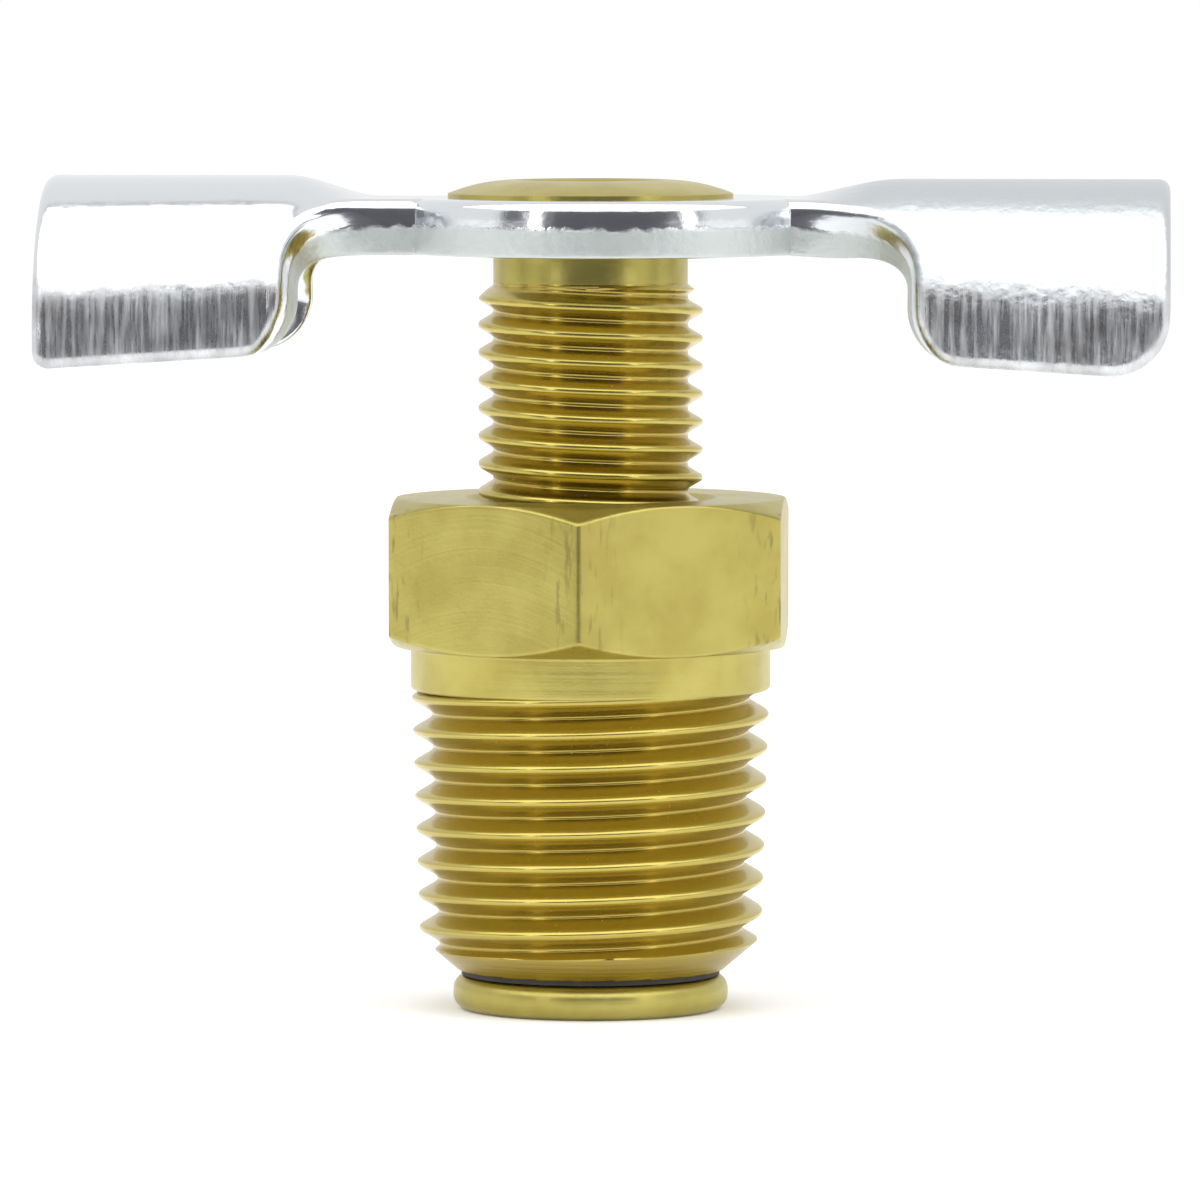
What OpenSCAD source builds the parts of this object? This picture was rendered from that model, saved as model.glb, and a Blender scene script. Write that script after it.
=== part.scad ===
/* [Valve head] */
// Diameter of the round head that closes the body's end
head_d = 7.86; // [7.4:0.02:9]
// Thickness of the head
head_h = 1; // [0.8:0.05:2]
// Radius of the head's rounded rim
head_round = 0.42; // [0.1:0.02:0.45]
// Thickness of the seat washer between the head and the body
washer_t = 0.15; // [0.1:0.01:0.6]
// Outer diameter of the seat washer
washer_d = 7.4; // [7:0.05:7.6]

/* [Pipe thread] */
// Diameter over the thread's crests at the body's lower end
pipe_d = 9.75; // [9.4:0.05:11]
// Pitch of the pipe thread, 27 threads to the inch
pipe_pitch = 0.9407; // [0.8:0.0001:1.2]
// Depth of the pipe thread
pipe_depth = 0.57; // [0.4:0.01:0.7]
// Widening of the diameter for each millimetre of length, 1 in 16
pipe_taper = 0.0625; // [0.03:0.0005:0.1]
// Length of the threaded end
pipe_len = 8; // [6:0.1:14]
// Height above the lower end at which the thread's root passes the right side
pipe_start = 0.16; // [0:0.01:0.9]
// Diameter of the chamfered lower end
end_d = 7.64; // [7.6:0.02:8.4]
// Slope of that chamfer, from the axis
end_angle = 50; // [30:1:60]

/* [Hexagon] */
// Width across the flats, 7/16 inch
hex_flats = 11.11; // [10.9:0.01:14]
// Height of the hexagon
hex_h = 4.25; // [3:0.05:8]
// Angle of the chamfers on its corners
hex_chamfer = 28; // [15:1:40]
// Diameter of the plain neck between hexagon and thread
neck_d = 10.29; // [9.8:0.01:10.8]
// Length of the neck
neck_len = 1.25; // [0.6:0.05:3]

/* [Stem] */
// Diameter over the crests of the stem's left-hand thread
stem_d = 6.4; // [6:0.02:6.5]
// Pitch of the stem thread, 32 threads to the inch
stem_pitch = 0.79375; // [0.6:0.00005:1]
// Depth of the stem thread
stem_depth = 0.42; // [0.3:0.01:0.5]
// Height above the origin at which that thread's root passes the right side, give or take whole pitches
stem_start = 0.46; // [0:0.01:0.75]
// Radial clearance between the stem thread and the body's thread
thread_gap = 0.1; // [0.06:0.01:0.15]
// Diameter of the plain shank above the head
shank_d = 4.9; // [4.4:0.05:5.4]
// Diameter of the plain collar under the handle
collar_d = 5.55; // [5.2:0.05:5.9]
// Height of the collar
collar_h = 0.8; // [0.4:0.05:1.5]
// Distance from the hexagon's top to the handle's underside when closed
stem_reach = 6.95; // [6.6:0.05:12]
// Diameter of the drain hole down the middle of the stem
drain_d = 3; // [2:0.1:3.2]
// Diameter of the two side ports that lead into it
port_d = 2.2; // [1.5:0.1:2.6]
// Height of the side ports above the head
port_rise = 2.4; // [1.6:0.1:4]

/* [Bore] */
// Diameter of the plain bore in the body's lower half
bore_d = 6.75; // [6.7:0.01:7]
// Depth of that bore
bore_depth = 7; // [5:0.1:9]
// Width of the chamfer at the bore's upper mouth
mouth_chamfer = 0.3; // [0.1:0.05:0.4]

/* [Handle] */
// Thickness of the stamped sheet
sheet_t = 1.6; // [1:0.05:1.8]
// Half of the handle's length
wing_reach = 15.95; // [14:0.05:22]
// Diameter of the flat hub
hub_d = 12.4; // [11.6:0.1:14]
// Half of the width of the waist where a wing leaves the hub
waist_half = 3.2; // [2.8:0.05:3.6]
// Distance from the middle at which a wing has its full width
wing_from = 8.75; // [8.4:0.05:10]
// Radius of the inner corner between the waist and the wing
notch_round = 1.55; // [1:0.05:1.9]
// Radius of the wing's curve across, on the outside
wing_round = 4; // [3.6:0.05:4.4]
// Straight edge below the curve, on the left and the right wing
skirt = [1.25, 1.45]; // [0.8:0.05:2]
// Corner radius at the wing's outer end, on the left and the right wing
tip_round = [0.5, 1.8]; // [0.4:0.1:2.2]
// Corner radius at the wing's inner end
heel_round = 1.15; // [0.6:0.05:1.3]
// Height of the wings' top above the hub's top
crown_rise = 0.54; // [0:0.02:1]
// Lean of the sheared inner edge, how far the curve's inside stands out past its outside
edge_lean = 0.45; // [0:0.05:0.6]
// How far off the middle of the blank the hole is punched
hole_off = 0.45; // [0:0.05:0.8]
// Diameter of the stem's end in the handle's hole
tenon_d = 4.8; // [4.4:0.05:5]
// Width of that end across its two flats
tenon_flats = 4.2; // [3.8:0.05:4.4]
// Diameter of the rolled rim that holds the handle
rim_d = 8.14; // [7:0.02:9]
// Height of the rolled rim
rim_h = 0.5; // [0.3:0.02:0.8]
// Height of the rim's upright edge
rim_lip = 0.12; // [0.05:0.01:0.25]
// Radius of the rim's highest circle, where the flare of the drain hole starts
rim_top = 2.2; // [1.9:0.05:2.8]
// Depth of that flare
flare_h = 0.6; // [0.3:0.05:1.2]

/* [Hidden] */
$fn = 64;
// Straight pieces to one turn of each thread
pipe_steps = 44;
stem_steps = 32;
// Play round the washer, and length by which a cut runs past a face
washer_gap = 0.05;
past = 1;
// Shares of one pitch taken by the root flat and by the flank of a thread of 60 degrees
pipe_flank = pipe_depth * tan(30) / pipe_pitch;
pipe_flat = 0.5 - pipe_flank;
stem_flank = stem_depth * tan(30) / stem_pitch;
stem_flat = 0.5 - stem_flank;
// Heights, from the head's underside up
body_z = head_h + washer_t;
neck_z = body_z + pipe_len;
hex_z = neck_z + neck_len;
top_z = hex_z + hex_h;
handle_z = top_z + stem_reach;
handle_top = handle_z + sheet_t;
bore_top = body_z + bore_depth;
stem_thread_z = bore_top + stem_pitch / 4;
stem_thread_top = handle_z - collar_h;
port_z = head_h + port_rise;
drain_z = port_z - port_d / 2;
// The wing's sheet, by its middle layer
bend_r = wing_round - sheet_t / 2;
arc_len = bend_r * PI / 2;
hub_half = sqrt(pow(hub_d / 2, 2) - pow(waist_half, 2));
// Length by which a wing's flat root reaches into the hub
stub = 0.5;

// One turn of a thread's outline, 0 at the root and 1 at the crest, for a place given in pitches
function tooth(place, flat, flank) =
    let (part = place - floor(place))
    part < flat ? 0 : part < flat + flank ? (part - flat) / flank
    : part < 2 * flat + flank ? 1 : (1 - part) / flank;

function held(value, low, high) = min(max(value, low), high);

// A rod with a true helical thread from z = 0 to len; hand is 1 for right, -1 for left
module threaded_rod(d, pitch, depth, len, hand, flat, flank, steps, widen = 0, phase = 0) {
    kinks = [0, flat, flat + flank, 2 * flat + flank];
    turns = ceil(len / pitch) + 5;
    rows = 4 * turns;
    start = phase / pitch - floor(phase / pitch) - 3;
    function height(i, j) = held(pitch * (start + floor(j / 4) + kinks[j % 4] + hand * i / steps), 0, len);
    function radius(i, z) = d / 2 + widen / 2 * z
        - depth * (1 - tooth(z / pitch - start - hand * i / steps, flat, flank));
    function point(i, j) = let (z = height(i, j), r = radius(i, z), a = 360 * i / steps)
        [r * cos(a), r * sin(a), z];
    function mark(i, j) = i < steps ? i * rows + j : held(j + 4 * hand, 0, rows - 1);
    points = [for (i = [0 : steps - 1], j = [0 : rows - 1]) point(i, j), [0, 0, 0], [0, 0, len]];
    foot = steps * rows;
    faces = [
        for (i = [0 : steps - 1], j = [0 : rows - 2])
            let (a = mark(i, j), b = mark(i, j + 1), c = mark(i + 1, j + 1), e = mark(i + 1, j))
            each [if (points[a] != points[b]) [a, b, c], if (points[c] != points[e]) [a, c, e]],
        for (i = [0 : steps - 1]) [foot, mark(i, 0), mark(i + 1, 0)],
        for (i = [0 : steps - 1]) [foot + 1, mark(i + 1, rows - 1), mark(i, rows - 1)]
    ];
    polyhedron(points, faces);
}

// The stem's thread, grown by a gap for the body's own thread; both keep one phase
module stem_thread(z, len, gap = 0) {
    translate([0, 0, z])
        threaded_rod(stem_d + 2 * gap, stem_pitch, stem_depth, len, -1, stem_flat, stem_flank,
                     stem_steps, 0, stem_start - z);
}

module hexagon() {
    corner = hex_flats / 2 / cos(30);
    drop = (corner - hex_flats / 2) * tan(hex_chamfer);
    intersection() {
        rotate([0, 0, 30]) cylinder(h = hex_h, r = corner, $fn = 6);
        union() {
            cylinder(h = drop, r1 = hex_flats / 2, r2 = corner);
            translate([0, 0, drop]) cylinder(h = hex_h - 2 * drop, r = corner + past);
            translate([0, 0, hex_h - drop]) cylinder(h = drop, r1 = corner, r2 = hex_flats / 2);
        }
    }
}

module pipe_end() {
    cone_h = pipe_len / 2;
    intersection() {
        threaded_rod(pipe_d, pipe_pitch, pipe_depth, pipe_len, 1, pipe_flat, pipe_flank,
                     pipe_steps, pipe_taper, pipe_start);
        union() {
            cylinder(h = cone_h, r1 = end_d / 2, r2 = end_d / 2 + cone_h * tan(end_angle));
            translate([0, 0, cone_h]) cylinder(h = pipe_len, r = hex_flats);
        }
    }
}

module body() {
    mouth_r = stem_d / 2 + thread_gap + mouth_chamfer;
    mouth_h = mouth_chamfer + stem_depth + thread_gap;
    color("darkkhaki") difference() {
        union() {
            translate([0, 0, body_z]) pipe_end();
            translate([0, 0, neck_z]) cylinder(h = neck_len, d = neck_d);
            translate([0, 0, hex_z]) hexagon();
        }
        translate([0, 0, body_z - past]) cylinder(h = bore_depth + past, d = bore_d);
        stem_thread(bore_top - past, top_z - bore_top + 2 * past, thread_gap);
        translate([0, 0, top_z - mouth_h])
            cylinder(h = mouth_h + past, r1 = mouth_r - mouth_h, r2 = mouth_r + past);
    }
}

module head() {
    rim = head_d / 2 - head_round;
    rotate_extrude() {
        square([rim, head_h]);
        translate([0, head_round]) square([head_d / 2, head_h - 2 * head_round]);
        for (z = [head_round, head_h - head_round]) translate([rim, z]) circle(head_round);
    }
}

// The stem's end, spread over the handle: a low dome round the drain hole, flared at its mouth
module rolled_rim() {
    rise = rim_h - rim_lip;
    run = rim_d / 2 - rim_top;
    dome_r = (run * run + rise * rise) / (2 * rise);
    rotate_extrude() intersection() {
        square([rim_d / 2, rim_h]);
        union() {
            square([rim_top, rim_h]);
            translate([rim_top, rim_h - dome_r]) circle(dome_r);
        }
    }
}

module stem() {
    color("goldenrod") difference() {
        union() {
            head();
            cylinder(h = stem_thread_z, d = shank_d);
            stem_thread(stem_thread_z, stem_thread_top - stem_thread_z);
            translate([0, 0, stem_thread_top]) cylinder(h = collar_h, d = collar_d);
            translate([0, 0, handle_z]) tenon(sheet_t);
            translate([0, 0, handle_top]) rolled_rim();
        }
        translate([0, 0, drain_z]) cylinder(h = handle_top, d = drain_d);
        translate([0, 0, handle_top + rim_h - flare_h])
            cylinder(h = 2 * flare_h, r1 = drain_d / 2, r2 = 2 * rim_top - drain_d / 2);
        translate([0, 0, port_z]) rotate([0, 90, 0]) cylinder(h = head_d, d = port_d, center = true);
    }
}

module tenon(h) {
    intersection() {
        cylinder(h = h, d = tenon_d);
        translate([-tenon_flats / 2, -tenon_d, 0]) cube([tenon_flats, 2 * tenon_d, h]);
    }
}

module seat_washer() {
    color("dimgray") translate([0, 0, head_h]) difference() {
        cylinder(h = washer_t, d = washer_d);
        translate([0, 0, -past]) cylinder(h = washer_t + 2 * past, d = shank_d + 2 * washer_gap);
    }
}

// Smooth step from 0 to 1
function ease(share) = let (c = held(share, 0, 1)) c * c * (3 - 2 * c);

// A place on the wing: u out from the middle, s across the flat blank, side 1 outside or -1 inside
function on_sheet(u, s, side, lean) =
    let (
        curl = ease((u - hub_half) / (wing_from - hub_half)) / bend_r,
        arc = min(abs(s), arc_len),
        turn = curl * arc * 180 / PI,
        straight = abs(s) - arc,
        y = curl > 0 ? sin(turn) / curl + straight * cos(turn) : abs(s),
        z = curl > 0 ? (cos(turn) - 1) / curl - straight * sin(turn) : 0,
        lift = crown_rise * ease((u - hub_half) / (wing_from - hub_half)),
        half = side * sheet_t / 2,
        out = u + (side > 0 ? lean * edge_lean * sin(turn) : 0)
    )
    [out, sign(s) * (y + half * sin(turn)), handle_z + sheet_t / 2 + z + half * cos(turn) + lift];

module wing(edge, tip) {
    wide = arc_len + edge;
    fillet = min(notch_round, wide - heel_round - waist_half - stub / 2);
    // Inner and outer end of the blank, at a distance s across it
    function inner(s) =
        s <= waist_half ? hub_half - stub
        : s < waist_half + fillet ? wing_from - fillet + sqrt(pow(fillet, 2) - pow(waist_half + fillet - s, 2))
        : s < wide - heel_round ? wing_from
        : wing_from + heel_round - sqrt(max(0, pow(heel_round, 2) - pow(s - wide + heel_round, 2)));
    function outer(s) =
        s < wide - tip ? wing_reach
        : wing_reach - tip + sqrt(max(0, pow(tip, 2) - pow(s - wide + tip, 2)));
    half_rows = [
        for (k = [0 : 3]) waist_half * k / 3,
        for (k = [1 : 4]) waist_half + fillet * (1 - cos(k * 22.5)),
        for (k = [1 : 6]) wide - heel_round * (1 - sin(k * 15))
    ];
    rows = [for (k = [len(half_rows) - 1 : -1 : 1]) -half_rows[k], each half_rows];
    stations = [
        hub_half - stub,
        for (k = [0 : 8]) hub_half + (wing_from - hub_half) * k / 8,
        wing_from + heel_round / 2, wing_from + heel_round,
        for (k = [0 : 4]) wing_reach - tip * (1 - sin(k * 22.5))
    ];
    nu = len(stations);
    nr = len(rows);
    function place(i, j, side) =
        let (s = rows[j], a = inner(abs(s)), b = outer(abs(s)), u = held(stations[i], a, b))
        on_sheet(u, s, side, 1 - ease((u - a) / heel_round));
    function mark(i, j, side) = (side > 0 ? 0 : nu * nr) + i * nr + j;
    points = [for (side = [1, -1], i = [0 : nu - 1], j = [0 : nr - 1]) place(i, j, side)];
    quads = [
        for (i = [0 : nu - 2], j = [0 : nr - 2])
            each [[mark(i, j, 1), mark(i, j + 1, 1), mark(i + 1, j + 1, 1), mark(i + 1, j, 1)],
                  [mark(i, j, -1), mark(i + 1, j, -1), mark(i + 1, j + 1, -1), mark(i, j + 1, -1)]],
        for (j = [0 : nr - 2])
            each [[mark(0, j, 1), mark(0, j, -1), mark(0, j + 1, -1), mark(0, j + 1, 1)],
                  [mark(nu - 1, j, 1), mark(nu - 1, j + 1, 1), mark(nu - 1, j + 1, -1), mark(nu - 1, j, -1)]],
        for (i = [0 : nu - 2])
            each [[mark(i, 0, 1), mark(i + 1, 0, 1), mark(i + 1, 0, -1), mark(i, 0, -1)],
                  [mark(i, nr - 1, 1), mark(i, nr - 1, -1), mark(i + 1, nr - 1, -1), mark(i + 1, nr - 1, 1)]]
    ];
    function whole(a, b, c) = points[a] != points[b] && points[b] != points[c] && points[c] != points[a];
    faces = [
        for (q = quads)
            each [if (whole(q[0], q[1], q[2])) [q[0], q[1], q[2]], if (whole(q[0], q[2], q[3])) [q[0], q[2], q[3]]]
    ];
    polyhedron(points, faces);
}

module wing_handle() {
    color("lightgray") difference() {
        translate([hole_off, 0, 0]) union() {
            translate([0, 0, handle_z]) linear_extrude(sheet_t) intersection() {
                circle(d = hub_d);
                square([2 * hub_half, hub_d], center = true);
            }
            wing(skirt[1], tip_round[1]);
            mirror([1, 0, 0]) wing(skirt[0], tip_round[0]);
        }
        translate([0, 0, handle_z - past]) tenon(sheet_t + 2 * past);
    }
}

body();
stem();
seat_washer();
wing_handle();
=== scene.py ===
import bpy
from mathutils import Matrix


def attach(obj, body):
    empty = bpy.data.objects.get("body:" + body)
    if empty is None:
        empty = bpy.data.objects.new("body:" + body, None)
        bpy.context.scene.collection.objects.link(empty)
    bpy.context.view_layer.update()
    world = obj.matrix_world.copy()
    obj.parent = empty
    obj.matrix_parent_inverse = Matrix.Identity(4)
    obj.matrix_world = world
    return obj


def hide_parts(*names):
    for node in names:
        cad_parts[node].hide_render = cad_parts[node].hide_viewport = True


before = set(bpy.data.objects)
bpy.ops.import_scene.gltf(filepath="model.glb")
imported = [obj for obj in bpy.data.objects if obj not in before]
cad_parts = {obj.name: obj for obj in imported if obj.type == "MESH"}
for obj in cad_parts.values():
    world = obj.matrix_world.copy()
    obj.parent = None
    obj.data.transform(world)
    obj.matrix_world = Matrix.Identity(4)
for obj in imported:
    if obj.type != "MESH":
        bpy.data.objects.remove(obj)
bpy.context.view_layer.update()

import math

import bmesh
import bpy
import numpy as np
from mathutils import Vector
from mathutils.geometry import delaunay_2d_cdt

# Valve body
# One turned piece of brass hexagon bar. The taper pipe thread is cut on its lower end, and the upper half of its
# bore carries the stem's left-hand thread. Turned bright, then tumbled, so its edges and the hexagon are satin.


class Socket:
    """A socket of a node tree: arithmetic on it adds Math nodes, and node() adds any other node."""

    def __init__(self, tree, link=None):
        self.tree, self.link = tree, link

    def node(self, kind, settings=(), inputs=(), out=0):
        made = self.tree.nodes.new(kind)
        for name, value in dict(settings).items():
            if name == "stops":
                ramp = made.color_ramp.elements
                while len(ramp) < len(value):
                    ramp.new(0.5)
                for element, (place, colour) in zip(ramp, value):
                    element.position, element.color = place, (*colour, 1)
            else:
                setattr(made, name, value)
        for name, value in dict(inputs).items():
            if isinstance(value, Socket):
                self.tree.links.new(value.link, made.inputs[name])
            else:
                made.inputs[name].default_value = value
        return Socket(self.tree, made.outputs[out])

    def math(self, operation, *values):
        return self.node("ShaderNodeMath", {"operation": operation}, enumerate(values))

    def __add__(self, other):
        return self.math("ADD", self, other)

    def __sub__(self, other):
        return self.math("SUBTRACT", self, other)

    def __rsub__(self, other):
        return self.math("SUBTRACT", other, self)

    def __mul__(self, other):
        return self.math("MULTIPLY", self, other)

    def __truediv__(self, other):
        return self.math("DIVIDE", self, other)

    def __rtruediv__(self, other):
        return self.math("DIVIDE", other, self)

    def __pow__(self, other):
        return self.math("POWER", self, other)

    def __lt__(self, other):
        return self.math("LESS_THAN", self, other)

    def __gt__(self, other):
        return self.math("GREATER_THAN", self, other)

    def __abs__(self):
        return self.math("ABSOLUTE", self)

    def __neg__(self):
        return self * -1

    def held(self, low=0.0, high=1.0):
        return self.math("MINIMUM", self.math("MAXIMUM", self, low), high)

    __radd__, __rmul__ = __add__, __mul__


def thread_tree():
    """A turned length of screw thread as one closed shell: a helical outside, and a plain wall at the bore radius."""
    tree = bpy.data.node_groups.new("turned_thread", "GeometryNodeTree")
    sizes = ["Crest radius", "Pitch", "Depth", "Flat", "Crest rounding", "Root rounding", "Widening", "Length", "Height",
             "Start", "Hand", "Foot radius", "Foot slope", "Top radius", "Top slope", "Bore radius"]
    for name in sizes:
        tree.interface.new_socket(name=name, in_out="INPUT", socket_type="NodeSocketFloat")
    for name in ("Columns", "Rows"):
        tree.interface.new_socket(name=name, in_out="INPUT", socket_type="NodeSocketInt")
    tree.interface.new_socket(name="Material", in_out="INPUT", socket_type="NodeSocketMaterial")
    tree.interface.new_socket(name="Geometry", in_out="OUTPUT", socket_type="NodeSocketGeometry")
    given = {s.name: Socket(tree, s) for s in tree.nodes.new("NodeGroupInput").outputs if s.name}
    start = Socket(tree)
    pitch, hand, length = given["Pitch"], given["Hand"], given["Length"]
    turns = start.math("CEIL", length / pitch) + 3
    rows = turns * given["Rows"]
    grid = start.node("GeometryNodeMeshGrid", {}, {"Size X": 1.0, "Size Y": 1.0, "Vertices X": given["Columns"] + 1,
                                                   "Vertices Y": rows + 1})
    place = start.node("ShaderNodeSeparateXYZ", {}, {0: start.node("GeometryNodeInputPosition")})
    round_it = place + 0.5
    along = Socket(tree, place.link.node.outputs[1]) + 0.5
    row = start.math("ROUND", along * rows)
    first, last, wall = row < 0.5, row > rows - 0.5, row > rows - 1.5
    z = (pitch * (row / given["Rows"] - 2 + hand * round_it) + given["Start"]).held(0.0, length)
    beside = (z - given["Start"]) / pitch - hand * round_it - given["Flat"] / 2 + 0.5
    from_root = abs(start.math("FRACT", beside) - 0.5)
    tooth = (from_root - given["Flat"] / 2) / (0.5 - given["Flat"])
    tooth = start.math("SMOOTH_MAX", tooth, 0.0, given["Root rounding"])
    tooth = start.math("SMOOTH_MIN", tooth, 1.0, given["Crest rounding"])
    r = given["Crest radius"] + given["Widening"] / 2 * z - given["Depth"] * (1 - tooth)
    r = start.math("SMOOTH_MIN", r, given["Foot radius"] + given["Foot slope"] * z, 0.12)
    r = start.math("SMOOTH_MIN", r, given["Top radius"] + given["Top slope"] * (length - z), 0.12)
    plain = start.math("MAXIMUM", first, wall)
    r = r * (1 - plain) + given["Bore radius"] * plain
    z = z * (1 - last) + given["Height"]
    angle = round_it * math.tau
    spot = start.node("ShaderNodeCombineXYZ", {}, {0: r * start.math("COSINE", angle) / 1000,
                                                   1: r * start.math("SINE", angle) / 1000, 2: z / 1000})
    moved = start.node("GeometryNodeSetPosition", {}, {"Geometry": grid, "Position": spot})
    merged = start.node("GeometryNodeMergeByDistance", {}, {"Geometry": moved, "Distance": 1e-6})
    turned = start.node("GeometryNodeFlipFaces", {}, {"Mesh": merged, "Selection": given["Bore radius"] > given["Crest radius"]})
    smooth = start.node("GeometryNodeSetShadeSmooth", {}, {"Geometry": turned})
    real = start.node("GeometryNodeRealizeInstances", {}, {"Geometry": smooth})
    done = start.node("GeometryNodeSetMaterial", {}, {"Geometry": real, "Material": given["Material"]})
    tree.links.new(done.link, tree.nodes.new("NodeGroupOutput").inputs["Geometry"])
    return tree


def cut_thread(tree, **sizes):
    """The plain mesh that the thread tree makes of these sizes."""
    host = bpy.data.objects.new("thread_blank", bpy.data.meshes.new("thread_blank"))
    bpy.context.scene.collection.objects.link(host)
    nodes = host.modifiers.new("thread", "NODES")
    nodes.node_group = tree
    for socket in tree.interface.items_tree:
        key = socket.name.lower().replace(" ", "_")
        if socket.in_out == "INPUT" and key in sizes:
            nodes[socket.identifier] = sizes[key]
    made = bpy.data.meshes.new_from_object(host.evaluated_get(bpy.context.evaluated_depsgraph_get()))
    host.modifiers.remove(nodes)
    bpy.data.objects.remove(host)
    return made


def rounded(corners, steps=5):
    """A profile of (radius, height, rounding) corners as points, each rounding made an arc."""
    points = []
    for k, (x, z, rounding) in enumerate(corners):
        here = np.array([x, z])
        if rounding == 0 or k in (0, len(corners) - 1):
            points.append(here)
            continue
        back, on = np.array(corners[k - 1][:2]) - here, np.array(corners[k + 1][:2]) - here
        reach = [np.linalg.norm(back), np.linalg.norm(on)]
        back, on = back / reach[0], on / reach[1]
        half = math.acos(np.clip(back @ on, -1, 1)) / 2
        cut = min(rounding / math.tan(half), 0.48 * min(reach))
        a, b = here + back * cut, here + on * cut
        middle = here + (back + on) / np.linalg.norm(back + on) * cut / math.cos(half)
        swing = math.pi - 2 * half
        for i in range(steps + 1):
            t = swing * i / steps
            points.append(middle + (a - middle) * math.sin(swing - t) / math.sin(swing)
                          + (b - middle) * math.sin(t) / math.sin(swing))
    return np.array(points)


def turned_shell(radii, heights, angles, loop=False):
    """A mesh of rows of points round the Z axis; loop joins the last row to the first."""
    r, z = np.broadcast_arrays(np.asarray(radii, float), np.asarray(heights, float))
    if r.ndim == 1:
        r, z = np.repeat(r[:, None], len(angles), 1), np.repeat(z[:, None], len(angles), 1)
    count, columns = r.shape
    spots = np.stack([r * np.cos(angles), r * np.sin(angles), z], -1).reshape(-1, 3) / 1000
    faces = []
    for i in range(count if loop else count - 1):
        k = (i + 1) % count
        for j in range(columns):
            n = (j + 1) % columns
            faces.append((i * columns + j, i * columns + n, k * columns + n, k * columns + j))
    made = bpy.data.meshes.new("shell")
    made.from_pydata(spots.tolist(), [], faces)
    return made


def one_piece(name, shells, material, body, node, crease=45):
    """One object of closed shells: merged, turned outwards, smooth with creases, and riding on its body."""
    made = bpy.data.meshes.new(name)
    whole = bmesh.new()
    for shell in shells:
        part = bmesh.new()
        part.from_mesh(shell)
        bmesh.ops.remove_doubles(part, verts=part.verts, dist=5e-7)
        bmesh.ops.recalc_face_normals(part, faces=part.faces)
        part.to_mesh(shell)
        part.free()
        whole.from_mesh(shell)
    whole.to_mesh(made)
    whole.free()
    made.materials.clear()
    made.materials.append(material)
    made.polygons.foreach_set("material_index", [0] * len(made.polygons))
    made.polygons.foreach_set("use_smooth", [True] * len(made.polygons))
    made.set_sharp_from_angle(angle=math.radians(crease))
    piece = bpy.data.objects.new(name, made)
    bpy.context.scene.collection.objects.link(piece)
    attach(piece, body)
    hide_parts(node)
    return piece


def new_material(name):
    """A material with its shader, and a socket to start its expressions from."""
    made = bpy.data.materials.new(name)
    made.use_nodes = True
    return made, made.node_tree.nodes["Principled BSDF"], Socket(made.node_tree)


def object_places(start):
    """Object coordinates in millimetres: the vector, and x, y and z by themselves."""
    spot = start.node("ShaderNodeTexCoord", out=3)
    mm = start.node("ShaderNodeVectorMath", {"operation": "SCALE"}, {0: spot, "Scale": 1000.0})
    x = start.node("ShaderNodeSeparateXYZ", {}, {0: mm})
    return mm, x, *(Socket(x.tree, x.link.node.outputs[k]) for k in (1, 2))


def mixed(start, share, below, above):
    """Colour between two others; a plain colour is given as three numbers."""
    pair = [value if isinstance(value, Socket) else (*value, 1) for value in (below, above)]
    return start.node("ShaderNodeMix", {"data_type": "RGBA"}, {0: share, 6: pair[0], 7: pair[1]}, out=2)


def brass_material(name, thread_r, thread_widening, thread_depth, thread_from, thread_to):
    """Turned brass: satin where it is plain, a little lighter over the thread, and with painted shade turning the
    thread's roots brown.
    """
    made, shader, start = new_material(name)
    mm, x, y, z = object_places(start)
    out_r = (x * x + y * y) ** 0.5
    threaded = (z > thread_from) * (z < thread_to)
    # Painted shade: how deep a point lies in the thread, used below to darken the thread's roots to brown.
    painted_root_shade = ((thread_r + thread_widening / 2 * (z - thread_from) - out_r) / thread_depth).held() * threaded
    cloud = start.node("ShaderNodeTexNoise", {}, {"Vector": mm, "Scale": 0.7, "Detail": 4.0})
    grain = start.node("ShaderNodeTexNoise", {}, {"Vector": mm, "Scale": 9.0, "Detail": 3.0})
    plain = start.node("ShaderNodeValToRGB", {"stops": [(0.35, (0.41, 0.345, 0.090)), (0.65, (0.48, 0.415, 0.120))]}, {0: cloud})
    worked = mixed(start, threaded * 0.8, plain, (0.50, 0.405, 0.105))
    colour = mixed(start, painted_root_shade * (0.3 + 0.5 * cloud), worked, (0.34, 0.235, 0.042))
    upright = start.node("ShaderNodeCombineXYZ", {}, {0: x * 4.5, 1: y * 4.5, 2: z * 0.9})
    scuff = start.node("ShaderNodeTexNoise", {}, {"Vector": upright, "Scale": 1.0, "Detail": 3.0})
    worn = ((out_r - 5.8) * 2.5).held() * ((scuff - 0.55) * 9).held()
    colour = mixed(start, worn * 0.7, colour, (0.24, 0.20, 0.075))
    lines = start.node("ShaderNodeCombineXYZ", {}, {0: (z + out_r) * 9, 1: x * 0.12, 2: y * 0.12})
    turning = start.node("ShaderNodeTexNoise", {}, {"Vector": lines, "Scale": 1.0, "Detail": 3.0})
    start.tree.links.new(colour.link, shader.inputs["Base Color"])
    start.tree.links.new((0.27 + 0.14 * grain - 0.10 * threaded + 0.15 * worn).link, shader.inputs["Roughness"])
    shader.inputs["Metallic"].default_value = 1.0
    bump = start.node("ShaderNodeBump", {}, {"Strength": 0.3, "Distance": 0.00002, "Height": turning + grain * (0.6 - 0.5 * threaded)})
    start.tree.links.new(bump.link, shader.inputs["Normal"])
    return made


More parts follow.
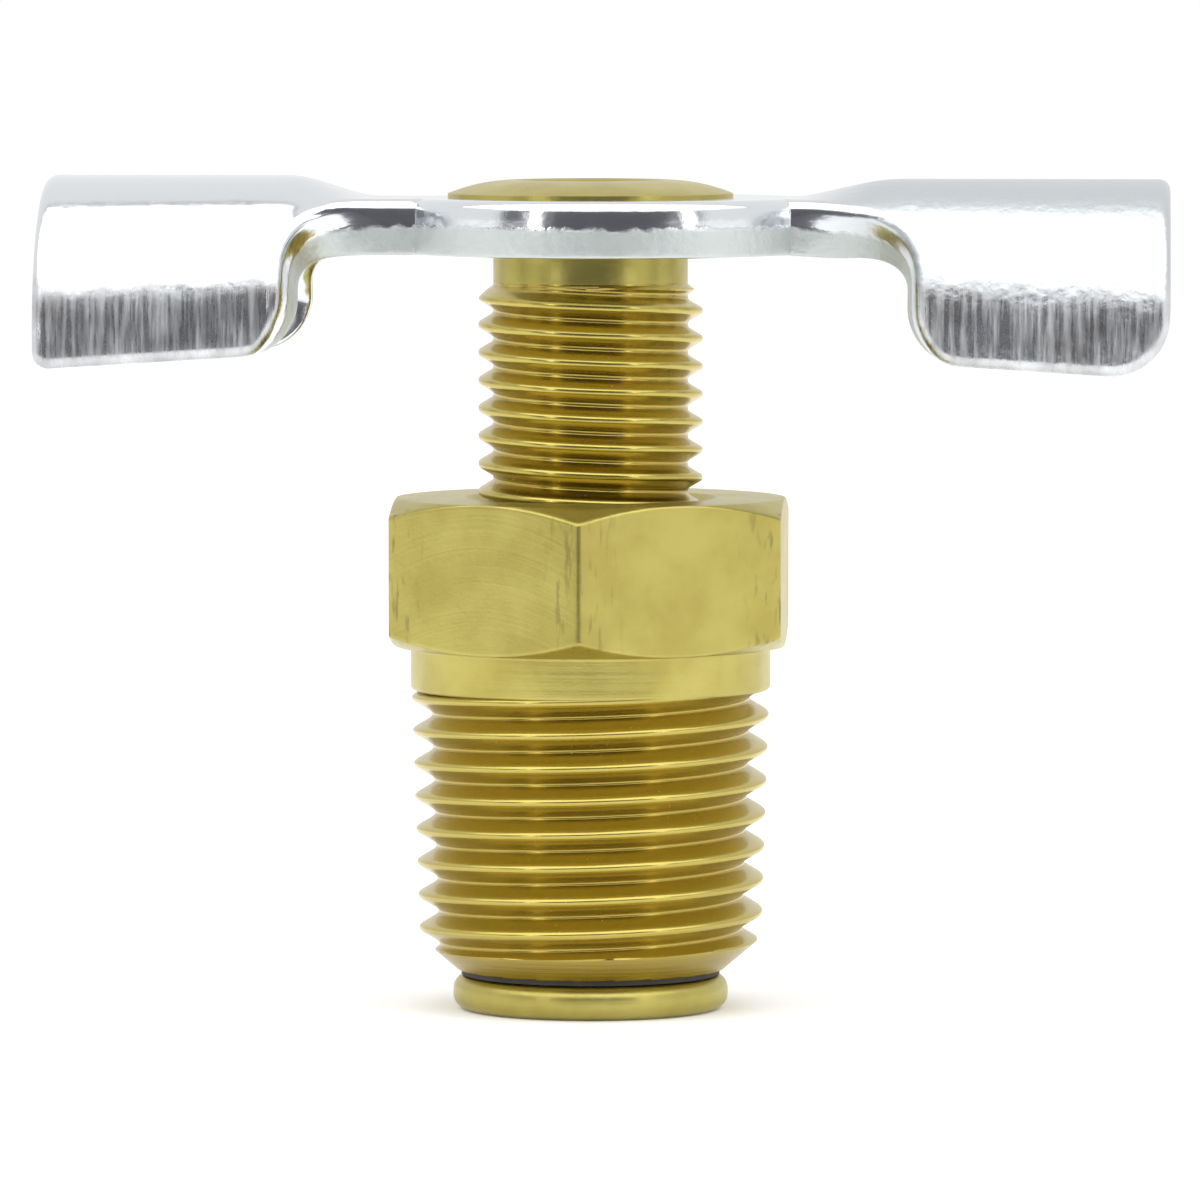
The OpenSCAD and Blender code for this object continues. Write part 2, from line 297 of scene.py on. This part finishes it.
body_brass = brass_material("body_brass", 4.875, 0.0625, 0.57, 1.15, 9.15)
thread = thread_tree()
pipe_end = cut_thread(thread, crest_radius=4.875, pitch=0.9407, depth=0.57, flat=0.1502, crest_rounding=0.3,
                      root_rounding=0.35, widening=0.0625, length=8.1, height=1.15, start=0.16, hand=1.0, foot_radius=3.82,
                      foot_slope=math.tan(math.radians(50)), top_radius=20.0, top_slope=0.0, bore_radius=3.375, columns=200,
                      rows=22, material=body_brass)
stem_thread = cut_thread(thread, crest_radius=3.3, pitch=0.79375, depth=0.42, flat=0.1945, crest_rounding=0.2,
                         root_rounding=0.3, widening=0.0, length=2.35, height=12.0, start=(0.46 - 12.0) % 0.79375, hand=-1.0,
                         foot_radius=20.0, foot_slope=0.0, top_radius=20.0, top_slope=0.0, bore_radius=4.2, columns=120,
                         rows=14, material=body_brass)

half_flats, hex_low, hex_high, neck_r, neck_low = 5.555, 10.40, 14.65, 5.145, 9.15
chamfer = math.tan(math.radians(28))
off_corner = [0, 0.35, 0.7, 1.1, 1.6, 2.3, 3.3, 4.8, 7, 9.5, 12, 15, 18, 21, 24, 27, 30]
sector = sorted({-a for a in off_corner[:-1]} | set(off_corner))
angles = np.radians([30 + 60 * k + a for k in range(6) for a in sector])
off_flat = np.abs((np.degrees(angles) + 30) % 60 - 30)
near, far = np.cos(np.radians(off_flat)), np.cos(np.radians(60 - off_flat))
hex_r = half_flats / (near ** 150 + far ** 150) ** (1 / 150)
rise = (hex_r - half_flats) * chamfer
above, below = hex_high - rise, hex_low + rise
share = [0, 0.2, 0.4, 0.6, 0.8, 1]
steps = [0.03, 0.06, 0.1, 0.16, 0.25, 0.4, 0.7]
up = [hex_low + 0.012 + (below - hex_low - 0.012) * s for s in share] + [below + s for s in steps]
down = [hex_high - 0.012 - (hex_high - 0.012 - above) * s for s in share] + [above - s for s in steps]
middle = [up[-1] + (down[-1] - up[-1]) * s for s in (0.25, 0.5, 0.75)]
hex_z = np.array(up + middle + down[::-1])


def soft_min(a, b, reach):
    h = np.maximum(reach - np.abs(a - b), 0) / reach
    return np.minimum(a, b) - h ** 3 * reach / 6


hex_rows = soft_min(np.broadcast_to(hex_r, hex_z.shape), half_flats + (hex_high - hex_z) / chamfer, 0.14)
hex_rows = soft_min(hex_rows, half_flats + (hex_z - hex_low) / chamfer, 0.14)
neck = rounded([(4.0, neck_low, 0), (neck_r, neck_low, 0.14), (neck_r, hex_low, 0.12), (half_flats - 0.05, hex_low, 0)])
mouth = rounded([(half_flats - 0.05, hex_high, 0), (3.6, hex_high, 0.06), (3.3, hex_high - 0.3, 0), (3.9, hex_high - 0.31, 0),
                 (4.0, neck_low, 0)], 4)[:-1]
column = np.ones(len(angles))
rows_r = np.concatenate([neck[:, :1] * column, hex_rows, mouth[:, :1] * column])
rows_z = np.concatenate([neck[:, 1:] * column, hex_z, mouth[:, 1:] * column])
hexagon = turned_shell(rows_r, rows_z, angles, loop=True)
one_piece("valve_body", [pipe_end, stem_thread, hexagon], body_brass, "valve_body", "body")

# Stem
# One turned piece of brass rod: round valve head, plain shank with two side ports, left-hand thread, plain collar, and
# an end that is rolled out over the handle round the mouth of its drain hole.

stem_brass = brass_material("stem_brass", 3.2, 0.0, 0.42, 8.2, 20.8)
ring = np.radians(np.arange(0, 360, 2.5))
shank = rounded([(0, 0, 0), (3.93, 0, 0.42), (3.93, 1.0, 0.42), (2.45, 1.0, 0.08), (2.45, 8.6, 0.1), (1.5, 8.6, 0),
                 (1.5, 2.3, 0.05), (0, 2.3, 0)], 7)
shank = turned_shell(shank[:, 0], shank[:, 1], ring)
rod = cut_thread(thread, crest_radius=3.2, pitch=0.79375, depth=0.42, flat=0.1945, crest_rounding=0.22, root_rounding=0.3,
                 widening=0.0, length=12.45, height=8.35, start=(0.46 - 8.35) % 0.79375, hand=-1.0, foot_radius=2.6,
                 foot_slope=1.0, top_radius=2.72, top_slope=1.1, bore_radius=1.5, columns=160, rows=18, material=stem_brass)
dome = [(2.2 + 1.87 * s, 23.58 + 0.12 - 0.38 * s * s) for s in np.linspace(1, 0, 12)]
rim = rounded([(2.775, 20.7, 0), (2.775, 21.55, 0.05), (2.4, 21.6, 0), (2.4, 23.2, 0), (4.07, 23.2, 0.04)], 4)
rim = np.concatenate([rim, dome, rounded([(2.2, 23.7, 0), (2.2, 23.7, 0), (1.98, 23.6, 0), (1.5, 23.1, 0.1), (1.5, 20.7, 0)], 4)[1:]])
rim = turned_shell(rim[:, 0], rim[:, 1], ring, loop=True)


def ported(shell):
    """The shank with its two side ports drilled across at the height of 3.4."""
    part = bmesh.new()
    part.from_mesh(shell)
    bmesh.ops.remove_doubles(part, verts=part.verts, dist=5e-7)
    bmesh.ops.recalc_face_normals(part, faces=part.faces)
    part.to_mesh(shell)
    part.free()
    drill = turned_shell([0, 1.1, 1.1, 0], [-4, -4, 4, 4], np.radians(np.arange(0, 360, 6)))
    part = bmesh.new()
    part.from_mesh(drill)
    bmesh.ops.remove_doubles(part, verts=part.verts, dist=5e-7)
    for vert in part.verts:
        vert.co = Vector((vert.co.z, vert.co.y, 0.0034 - vert.co.x))
    bmesh.ops.recalc_face_normals(part, faces=part.faces)
    part.to_mesh(drill)
    part.free()
    holder, tool = (bpy.data.objects.new(n, m) for n, m in (("shank", shell), ("drill", drill)))
    for each in (holder, tool):
        bpy.context.scene.collection.objects.link(each)
    cut = holder.modifiers.new("port", "BOOLEAN")
    cut.operation, cut.object, cut.solver = "DIFFERENCE", tool, "EXACT"
    made = bpy.data.meshes.new_from_object(holder.evaluated_get(bpy.context.evaluated_depsgraph_get()))
    for each in (holder, tool):
        bpy.data.objects.remove(each)
    return made


one_piece("travelling_stem", [ported(shank), rod, rim], stem_brass, "stem_and_handle", "stem")

# Seat washer
# A thin soft washer that lies on the valve head and seals against the body's end. Black rubber, only its rim shows.

washer_rubber, shader, start = new_material("washer_rubber")
spot = start.node("ShaderNodeTexCoord", out=3)
mottle = start.node("ShaderNodeTexNoise", {}, {"Vector": spot, "Scale": 1800.0, "Detail": 3.0})
colour = start.node("ShaderNodeValToRGB", {"stops": [(0.3, (0.020, 0.017, 0.014)), (0.7, (0.045, 0.038, 0.030))]}, {0: mottle})
start.tree.links.new(colour.link, shader.inputs["Base Color"])
start.tree.links.new((0.55 + 0.25 * mottle).link, shader.inputs["Roughness"])
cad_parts["seat_washer"].data.materials.clear()
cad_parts["seat_washer"].data.materials.append(washer_rubber)

# Wing handle
# Sheet steel blanked, pierced and pressed in one stroke, then zinc plated. Its upper edge is drawn over by the punch,
# the cut below it is half burnished and half torn, and the pressed flanges carry the marks of the die. Painted
# reflection darkens the flanges in patches low down, and painted shade makes the right wing a little greyer.

sheet, reach, hub_r, waist, wing_from, notch, heel = 1.6, 16.03, 5.79, 2.3, 8.6, 1.5, 1.5
bend_r, widen, hole_off, underside = 3.1, 0.45, 0.47, 21.6
arc_len, hub_half = bend_r * math.pi / 2, math.sqrt(hub_r ** 2 - waist ** 2)
left_wing = {"skirt": 1.08, "tip": 0.5, "lean": 0.5, "crown": 0.63, "form": (6.3, 9.1)}
right_wing = {"skirt": 1.22, "tip": 1.8, "lean": 0.3, "crown": 0.54, "form": (4.9, 8.4)}


def arc(cx, cy, r, a, b, count):
    t = np.radians(np.linspace(a, b, count))
    return [(cx + r * math.cos(k), cy + r * math.sin(k)) for k in t]


def straight(a, b, step=0.22):
    count = max(2, int(math.dist(a, b) / step) + 1)
    return [(a[0] + (b[0] - a[0]) * t, a[1] + (b[1] - a[1]) * t) for t in np.linspace(0, 1, count)]


def half_outline(skirt, tip):
    """The blank's edge on one side of the middle, from the hub's side round a wing's end: (out, across)."""
    wide = arc_len + skirt
    hub_angle = math.degrees(math.asin(waist / hub_r))
    path = arc(0, 0, hub_r, 90, hub_angle, 44)
    path += straight((hub_half, waist), (wing_from - notch, waist))
    path += arc(wing_from - notch, waist + notch, notch, -90, 0, 14)
    path += straight((wing_from, waist + notch), (wing_from, wide - heel))
    path += arc(wing_from + heel, wide - heel, heel, 180, 90, 12)
    path += straight((wing_from + heel, wide), (reach - tip, wide))
    path += arc(reach - tip, wide - tip, tip, 90, 0, 12 if tip > 1 else 7)
    path += straight((reach, wide - tip), (reach, 0))
    kept = [path[0]]
    for point in path[1:]:
        if math.dist(point, kept[-1]) > 1e-4:
            kept.append(point)
    return kept


right, left = (half_outline(wing["skirt"], wing["tip"]) for wing in (right_wing, left_wing))
upper = [(-u, s) for u, s in left[::-1]][:-1] + right
outline = np.array(upper + [(u, -s) for u, s in upper[::-1]][1:-1])


def inset(loop, distance):
    """The loop moved inwards; it runs clockwise."""
    back, on = loop - np.roll(loop, 1, 0), np.roll(loop, -1, 0) - loop
    back, on = (v / np.linalg.norm(v, axis=1)[:, None] for v in (back, on))
    a, b = (np.stack([v[:, 1], -v[:, 0]], 1) for v in (back, on))
    way = a + b
    way /= np.linalg.norm(way, axis=1)[:, None]
    stretch = np.clip(1 / np.maximum((way * a).sum(1), 0.3), 1, 1.5)
    return loop + way * (distance * stretch)[:, None]


def ease(t):
    t = np.clip(t, 0, 1)
    return t * t * (3 - 2 * t)


def pressed(flat, depth):
    """Places on the pressed sheet: flat is (out, across) on the blank, depth 1 on its upper and -1 on its lower face."""
    u, s = np.abs(flat[:, 0]), np.abs(flat[:, 1])
    is_right = flat[:, 0] > 0
    begin, end = (np.where(is_right, right_wing["form"][k], left_wing["form"][k]) for k in (0, 1))
    share = ease((u - begin) / (end - begin))
    bend = bend_r + widen * np.maximum(u - wing_from, 0) / (reach - wing_from)
    arc_here = bend * math.pi / 2
    curl = np.maximum(share / bend, 1e-9)
    across = np.where(s < arc_len, s * arc_here / arc_len, arc_here + s - arc_len)
    length = np.minimum(across, arc_here)
    turn = curl * length
    rest = across - length
    y = np.where(share > 0, np.sin(turn) / curl + rest * np.cos(turn), across)
    z = np.where(share > 0, (np.cos(turn) - 1) / curl - rest * np.sin(turn), 0)
    to_edge = np.where(s <= waist, np.minimum(hub_half, u),
                       np.where(s < waist + notch,
                                wing_from - notch + np.sqrt(np.maximum(notch ** 2 - (waist + notch - s) ** 2, 0)),
                                wing_from))
    stand = 1 - ease((u - to_edge) / heel)
    lean, crown = (np.where(is_right, right_wing[size], left_wing[size]) for size in ("lean", "crown"))
    out = u + (depth + 1) / 2 * stand * lean * np.sin(turn)
    half = depth * sheet / 2
    return np.stack([np.where(is_right, out, -out) + hole_off, np.sign(flat[:, 1]) * (y + half * np.sin(turn)),
                     underside + sheet / 2 + z + half * np.cos(turn) + crown * share], 1)


tenon = np.array([(2.1 * np.sign(math.cos(t)) if abs(math.cos(t)) * 2.4 > 2.1 else 2.4 * math.cos(t), 2.4 * math.sin(t))
                  for t in np.radians(np.arange(0, 360, 6))]) - (hole_off, 0)
edge_rows = [(0.34, 1.0), (0.25, 0.985), (0.16, 0.94), (0.08, 0.86), (0.025, 0.75), (0.0, 0.6), (0.0, 0.3), (0.0, 0.0),
             (0.0, -0.3), (0.0, -0.6), (0.0, -0.86), (0.02, -0.95), (0.06, -0.99), (0.12, -1.0)]
spots, cut, faces = [], [], []
loops = []
for distance, depth in edge_rows:
    loop = inset(outline, distance)
    loops.append(range(len(spots), len(spots) + len(loop)))
    spots += pressed(loop, np.full(len(loop), depth)).tolist()
    cut += [depth] * len(loop)
for a, b in zip(loops, loops[1:]):
    faces += [(a[k], a[(k + 1) % len(a)], b[(k + 1) % len(b)], b[k]) for k in range(len(a))]
bore_loops = []
for depth in (1.0, -1.0):
    bore_loops.append(range(len(spots), len(spots) + len(tenon)))
    spots += pressed(tenon, np.full(len(tenon), depth)).tolist()
    cut += [depth] * len(tenon)
a, b = bore_loops
faces += [(a[k], b[k], b[(k + 1) % len(b)], a[(k + 1) % len(a)]) for k in range(len(a))]
for side, (edge, hole) in {1: (loops[0], bore_loops[0]), -1: (loops[-1], bore_loops[1])}.items():
    rim_flat = inset(outline, edge_rows[0][0] if side > 0 else edge_rows[-1][0])
    grid_u = np.arange(-reach + 0.3, reach - 0.2, 0.3)
    grid_s = np.arange(-6.3, 6.31, 0.3)
    inner = np.array([(u + (0.15 if k % 2 else 0), s) for k, s in enumerate(grid_s) for u in grid_u])
    clear = np.full(len(inner), True)
    for start_at in range(0, len(rim_flat), 60):
        near_by = np.linalg.norm(inner[:, None] - rim_flat[None, start_at:start_at + 60], axis=2).min(1)
        clear &= near_by > 0.14
    clear &= np.linalg.norm(inner + (hole_off, 0), axis=1) > 2.6
    ax, ay = rim_flat.T
    bx, by = np.roll(ax, -1), np.roll(ay, -1)
    crossing = ((ay > inner[:, 1:]) != (by > inner[:, 1:])) & (
        inner[:, :1] < ax + (inner[:, 1:] - ay) / np.where(by == ay, 1e-12, by - ay) * (bx - ax))
    inner = inner[clear & (crossing.sum(1) % 2 == 1)]
    flat = np.concatenate([rim_flat, tenon, inner])
    n, m = len(rim_flat), len(tenon)
    borders = [(k, (k + 1) % n) for k in range(n)] + [(n + k, n + (k + 1) % m) for k in range(m)]
    made = delaunay_2d_cdt([Vector(p) for p in flat], borders, [], 0, 1e-7)
    place = {}
    for new, old in enumerate(made[3]):
        place[new] = old[0]
    base = len(spots)
    spots += pressed(inner, np.full(len(inner), float(side))).tolist()
    cut += [float(side)] * len(inner)
    index = list(edge) + list(hole) + list(range(base, base + len(inner)))
    middles = np.array([sum((flat[place[v]] for v in tri), np.zeros(2)) / 3 for tri in made[2]])
    crossing = ((ay > middles[:, 1:]) != (by > middles[:, 1:])) & (
        middles[:, :1] < ax + (middles[:, 1:] - ay) / np.where(by == ay, 1e-12, by - ay) * (bx - ax))
    tx, ty = tenon.T
    sx, sy = np.roll(tx, -1), np.roll(ty, -1)
    in_hole = ((ty > middles[:, 1:]) != (sy > middles[:, 1:])) & (
        middles[:, :1] < tx + (middles[:, 1:] - ty) / np.where(sy == ty, 1e-12, sy - ty) * (sx - tx))
    wanted = (crossing.sum(1) % 2 == 1) & (in_hole.sum(1) % 2 == 0)
    for keep, tri in zip(wanted, made[2]):
        if keep:
            tri = [index[place[v]] for v in tri]
            faces.append(tri if side > 0 else tri[::-1])

pressing = bpy.data.meshes.new("pressing")
pressing.from_pydata((np.array(spots) / 1000).tolist(), [], faces)
pressing.attributes.new("cut_depth", "FLOAT", "POINT").data.foreach_set("value", cut)

zinc_steel, shader, start = new_material("zinc_steel")
mm, x, y, z = object_places(start)
pebble = start.node("ShaderNodeTexNoise", {}, {"Vector": mm, "Scale": 3.2, "Detail": 3.0})
cloud = start.node("ShaderNodeTexNoise", {}, {"Vector": mm, "Scale": 0.8, "Detail": 3.0})
cut_depth = start.node("ShaderNodeAttribute", {"attribute_name": "cut_depth"}, out=2)
sheared = (cut_depth < 0.7) * (cut_depth > -0.97)
torn = sheared * ((0.3 * pebble - 0.05 - cut_depth) * 6).held()
flange = ((21.1 - z + 1.2 * (cloud - 0.5)) / 0.6).held() * (abs(y) > 3.2) * (1 - sheared)
drawn = start.node("ShaderNodeCombineXYZ", {}, {0: x * 6, 1: y * 0.4, 2: z * 0.45})
drag = start.node("ShaderNodeTexNoise", {}, {"Vector": drawn, "Scale": 1.0, "Detail": 5.0, "Roughness": 0.65})
streak = ((drag - 0.43) * 5).held()
right_side = ((x - 6) / 2).held()
# Painted reflection: cloudy dark grey patches over the lower flanges stand in for the dark that the polished zinc
# reflects there.
colour = mixed(start, flange * ((cloud - 0.3) * 2.5).held() * 0.85, (0.70, 0.72, 0.74), (0.34, 0.33, 0.33))
# Painted shade, partly: the right wing above its flanges is made greyer, standing in for its dimmer reflection of the
# softbox. It is also made rougher and more pebbled, which is its own finish.
colour = mixed(start, right_side * (1 - flange) * 0.7, colour, (0.50, 0.53, 0.55))
colour = mixed(start, torn * 0.8, colour, (0.60, 0.64, 0.62))
start.tree.links.new(colour.link, shader.inputs["Base Color"])
roughness = 0.12 + 0.08 * pebble + 0.14 * right_side * (1 - flange) + flange * (0.1 + 0.22 * streak) + 0.38 * torn
start.tree.links.new(roughness.link, shader.inputs["Roughness"])
shader.inputs["Metallic"].default_value = 1.0
height = pebble * (0.5 + right_side) + flange * drag * 1.6 + torn * pebble * 3
bump = start.node("ShaderNodeBump", {}, {"Strength": 0.25, "Distance": 0.00005, "Height": height})
start.tree.links.new(bump.link, shader.inputs["Normal"])
one_piece("pressed_wing_handle", [pressing], zinc_steel, "stem_and_handle", "wing_handle", crease=40)

# Stage
# A white table in a white room. A softbox hangs over the camera, two narrow ones stand beside it, and dark cards
# behind the camera give the polished metal something to show, as in a product photographer's tent.

table, shader, start = new_material("white_table")
shader.inputs["Base Color"].default_value = (0.92, 0.92, 0.92, 1)
shader.inputs["Roughness"].default_value = 0.9
shader.inputs["Specular IOR Level"].default_value = 0.0
seen = start.node("ShaderNodeLightPath")
glossy, through = (Socket(seen.tree, seen.link.node.outputs[name]) for name in ("Is Glossy Ray", "Is Transmission Ray"))
start.tree.links.new((seen + glossy + through).held().link, shader.inputs["Emission Color"])
shader.inputs["Emission Strength"].default_value = 0.1


def flat_piece(name, corners, material):
    made = bpy.data.meshes.new(name)
    made.from_pydata(corners, [], [tuple(range(len(corners)))])
    made.materials.append(material)
    piece = bpy.data.objects.new(name, made)
    bpy.context.scene.collection.objects.link(piece)
    return piece


flat_piece("white_table", [(3 * math.cos(t), 3 * math.sin(t), 0) for t in np.radians(np.arange(0, 360, 5))], table)
card, shader, start = new_material("dark_card")
shader.inputs["Base Color"].default_value = (0.10, 0.10, 0.11, 1)
shader.inputs["Roughness"].default_value = 1.0
shader.inputs["Specular IOR Level"].default_value = 0.0
for k, azimuth in enumerate(range(-52, 53, 13)):
    a, b = (math.radians(azimuth + side * 6.6) for side in (-1, 1))
    low, high = ((0.5 * math.sin(a), -0.5 * math.cos(a)), (0.5 * math.sin(b), -0.5 * math.cos(b)))
    piece = flat_piece(f"dark_card_{k}", [(*low, -0.02), (*high, -0.02), (*high, 0.26), (*low, 0.26)], card)
    piece.visible_camera = False
front = flat_piece("dark_card_front", [(-0.3, -0.5, 0.0004), (0.3, -0.5, 0.0004), (0.12, -0.06, 0.0004), (-0.12, -0.06, 0.0004)], card)
front.visible_camera = front.visible_shadow = front.visible_diffuse = False
bar = flat_piece("softbox_edge", [(-0.6, 0.085, 0.33), (0.6, 0.085, 0.33), (0.6, 0.102, 0.33), (-0.6, 0.102, 0.33)], card)
bar.visible_camera = False

world = bpy.data.worlds.new("white_room")
bpy.context.scene.world = world
world.use_nodes = True
world.node_tree.nodes["Background"].inputs["Color"].default_value = (1, 1, 1, 1)
world.node_tree.nodes["Background"].inputs["Strength"].default_value = 1.0


def lamp(name, at, width, height, watts, target=(0, 0, 0.012)):
    light = bpy.data.lights.new(name, "AREA")
    light.shape, light.size, light.size_y, light.energy = "RECTANGLE", width, height, watts
    made = bpy.data.objects.new(name, light)
    made.location = at
    made.rotation_euler = (Vector(at) - Vector(target)).to_track_quat("Z", "Y").to_euler()
    bpy.context.scene.collection.objects.link(made)


lamp("softbox", (0.0, -0.25, 0.33), 1.0, 0.66, 2.4, target=(0, -0.25, 0))
for name, azimuth in (("left_strip", -38), ("right_strip", 50)):
    lamp(name, (0.42 * math.sin(math.radians(azimuth)), -0.42 * math.cos(math.radians(azimuth)), 0.1), 0.035, 0.2, 0.12)

view = bpy.data.cameras.new("camera")
view.lens, view.sensor_width = 284.0, 36.0
view.clip_start, view.clip_end = 0.01, 10.0
camera = bpy.data.objects.new("camera", view)
distance, height, turn = 0.270, 0.0293, math.radians(3.2)
camera.location = (distance * math.sin(turn), -distance * math.cos(turn), height)
aim = Vector((0.00027, 0, 0.0117))
camera.rotation_euler = (camera.location - aim).to_track_quat("Z", "Y").to_euler()
bpy.context.scene.collection.objects.link(camera)
bpy.context.scene.camera = camera
bpy.context.scene.view_settings.view_transform = "Standard"
